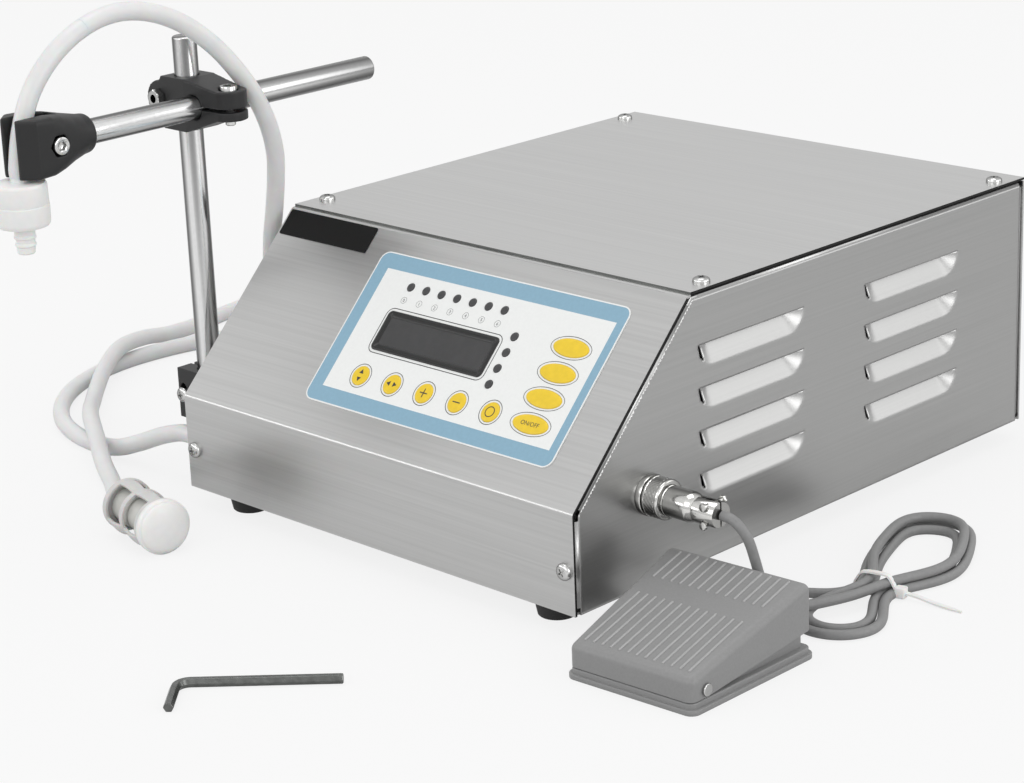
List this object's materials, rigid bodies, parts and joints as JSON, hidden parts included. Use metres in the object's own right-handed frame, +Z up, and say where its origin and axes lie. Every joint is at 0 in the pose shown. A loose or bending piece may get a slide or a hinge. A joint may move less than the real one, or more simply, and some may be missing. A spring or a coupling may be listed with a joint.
{
  "type": "perfume filling machine",
  "caption": "Benchtop pump filler in a sloped-front steel case, with a keypad and display, a filling nozzle on a clamped rod stand, hoses, a suction filter and a foot pedal.",
  "frame": {"origin": "on the table, at the centre of the pattern of the four feet", "axes": "+Z up, -Y towards the operator, out of the keypad side, and +X to the operator's right, where the pedal plugs in"},
  "size_m": [0.615, 0.4978, 0.251],
  "materials": {
    "stainless_sheet": "fine matt brushed stainless sheet",
    "bright_screw": "bright nickel plated",
    "black_rubber": "matt moulded rubber",
    "overlay_film": "printed matt polyester film",
    "black_label": "smooth black film",
    "display": "dark display window",
    "lamp_lens": "milky lamp lens",
    "round_keys": "raised dark key",
    "oval_keys": "raised grey key",
    "black_plastic": "fine grained black moulding",
    "circuit_board": "green solder mask",
    "zinc_sheet": "zinc plated sheet",
    "motor_steel": "grey painted can",
    "pump_plastic": "glass filled black plastic",
    "silicone_hose": "translucent silicone",
    "nickel_fitting": "nickel plated",
    "rocker_plastic": "glossy switch rocker",
    "grey_cord": "smooth grey sheath",
    "white_nylon": "natural nylon",
    "pedal_grey": "grey moulded plastic",
    "spring_steel": "bright spring wire",
    "polished_rod": "ground stainless rod",
    "black_bolt": "black oxide steel",
    "filter_plastic": "pale moulded plastic"
  },
  "bodies": {
    "cabinet": {"base_pan": "stainless_sheet", "left_side_panel": "stainless_sheet", "right_side_panel": "stainless_sheet", "front_panel": "stainless_sheet", "top_cover": "stainless_sheet", "back_panel": "stainless_sheet", "case_screws": "bright_screw", "rubber_feet": "black_rubber", "foot_screws": "bright_screw", "keypad_overlay": "overlay_film", "blank_label": "black_label", "lcd_module": "display", "indicator_lamps": "lamp_lens", "key_switches": "black_plastic", "control_board": "circuit_board", "power_supply": "zinc_sheet", "pump_motor": "motor_steel", "pump_head": "pump_plastic", "pump_bracket": "zinc_sheet", "suction_tube": "silicone_hose", "delivery_tube": "silicone_hose", "hose_ports": "nickel_fitting", "power_inlet": "black_plastic", "rocker_frame": "black_plastic", "pedal_socket": "nickel_fitting", "plug_body": "nickel_fitting", "plug_cord_clamp": "nickel_fitting", "pedal_cord": "grey_cord", "cord_hank": "grey_cord", "cable_tie": "white_nylon", "pedal_base": "pedal_grey", "pedal_pin": "bright_screw", "pedal_spring": "spring_steel", "pedal_switch": "black_plastic", "stand_bracket": "black_plastic", "outlet_hose": "silicone_hose", "inlet_hose": "silicone_hose", "filter_cage": "filter_plastic", "filter_cap": "filter_plastic", "hex_key": "black_bolt"},
    "stand": {"stand_rod": "polished_rod"},
    "clamp": {"cross_clamp": "black_plastic", "clamp_bolts": "black_bolt"},
    "arm": {"arm_rod": "polished_rod"},
    "nozzle": {"nozzle_clamp": "black_plastic", "nozzle_bolt": "bright_screw", "filling_nozzle": "black_plastic"},
    "ring": {"coupling_ring": "nickel_fitting"},
    "rocker": {"power_rocker": "rocker_plastic"},
    "pump": {"pump_rotor": "bright_screw"},
    "treadle": {"pedal_treadle": "pedal_grey"},
    "key_up_down_cap": {"key_up_down": "round_keys"},
    "key_left_right_cap": {"key_left_right": "round_keys"},
    "key_plus_cap": {"key_plus": "round_keys"},
    "key_minus_cap": {"key_minus": "round_keys"},
    "key_zero_cap": {"key_zero": "round_keys"},
    "key_power_cap": {"key_power": "oval_keys"},
    "key_clear_cap": {"key_clear": "oval_keys"},
    "key_settings_cap": {"key_settings": "oval_keys"},
    "key_run_cap": {"key_run": "oval_keys"}
  },
  "joints": [
    {"name": "key_up_down_press", "type": "slide", "parent": "cabinet", "child": "key_up_down_cap", "axis": [0, 0.716, -0.6981], "range_m": [0, 0.0004], "stiffness_N_per_m": 4000},
    {"name": "key_left_right_press", "type": "slide", "parent": "cabinet", "child": "key_left_right_cap", "axis": [0, 0.716, -0.6981], "range_m": [0, 0.0004], "stiffness_N_per_m": 4000},
    {"name": "key_plus_press", "type": "slide", "parent": "cabinet", "child": "key_plus_cap", "axis": [0, 0.716, -0.6981], "range_m": [0, 0.0004], "stiffness_N_per_m": 4000},
    {"name": "key_minus_press", "type": "slide", "parent": "cabinet", "child": "key_minus_cap", "axis": [0, 0.716, -0.6981], "range_m": [0, 0.0004], "stiffness_N_per_m": 4000},
    {"name": "key_zero_press", "type": "slide", "parent": "cabinet", "child": "key_zero_cap", "axis": [0, 0.716, -0.6981], "range_m": [0, 0.0004], "stiffness_N_per_m": 4000},
    {"name": "key_power_press", "type": "slide", "parent": "cabinet", "child": "key_power_cap", "axis": [0, 0.716, -0.6981], "range_m": [0, 0.0004], "stiffness_N_per_m": 4000},
    {"name": "key_clear_press", "type": "slide", "parent": "cabinet", "child": "key_clear_cap", "axis": [0, 0.716, -0.6981], "range_m": [0, 0.0004], "stiffness_N_per_m": 4000},
    {"name": "key_settings_press", "type": "slide", "parent": "cabinet", "child": "key_settings_cap", "axis": [0, 0.716, -0.6981], "range_m": [0, 0.0004], "stiffness_N_per_m": 4000},
    {"name": "key_run_press", "type": "slide", "parent": "cabinet", "child": "key_run_cap", "axis": [0, 0.716, -0.6981], "range_m": [0, 0.0004], "stiffness_N_per_m": 4000},
    {"name": "rocker_flip", "type": "hinge", "parent": "cabinet", "child": "rocker", "pos_m": [0.028, 0.162, 0.044], "axis": [-1, 0, 0], "range_deg": [0, 24]},
    {"name": "pump_turn", "type": "hinge", "parent": "cabinet", "child": "pump", "pos_m": [-0.06, -0.02, 0.044], "axis": [0, 1, 0], "continuous": true},
    {"name": "ring_turn", "type": "hinge", "parent": "cabinet", "child": "ring", "pos_m": [0.136, -0.1175, 0.0525], "axis": [1, 0, 0], "continuous": true},
    {"name": "treadle_press", "type": "hinge", "parent": "cabinet", "child": "treadle", "pos_m": [0.18645, -0.18602, 0.009], "axis": [-0.9981, -0.061, 0], "range_deg": [0, 4.5], "stiffness_Nm_per_rad": 2, "springref_deg": -5.73, "deforming": ["pedal_spring"]},
    {"name": "stand_swivel", "type": "hinge", "parent": "cabinet", "child": "stand", "pos_m": [-0.155, -0.1295, 0.06], "axis": [0, 0, 1], "range_deg": [-45, 30], "deforming": ["outlet_hose"]},
    {"name": "clamp_height", "type": "slide", "parent": "stand", "child": "clamp", "axis": [0, 0, 1], "range_m": [-0.03, 0.015], "deforming": ["outlet_hose"]},
    {"name": "arm_reach", "type": "slide", "parent": "clamp", "child": "arm", "axis": [0, 1, 0], "range_m": [-0.03, 0.03], "deforming": ["outlet_hose"]},
    {"name": "nozzle_tilt", "type": "hinge", "parent": "arm", "child": "nozzle", "pos_m": [-0.14, -0.22, 0.194], "axis": [0, 1, 0], "range_deg": [-20, 20], "deforming": ["outlet_hose"]}
  ]
}
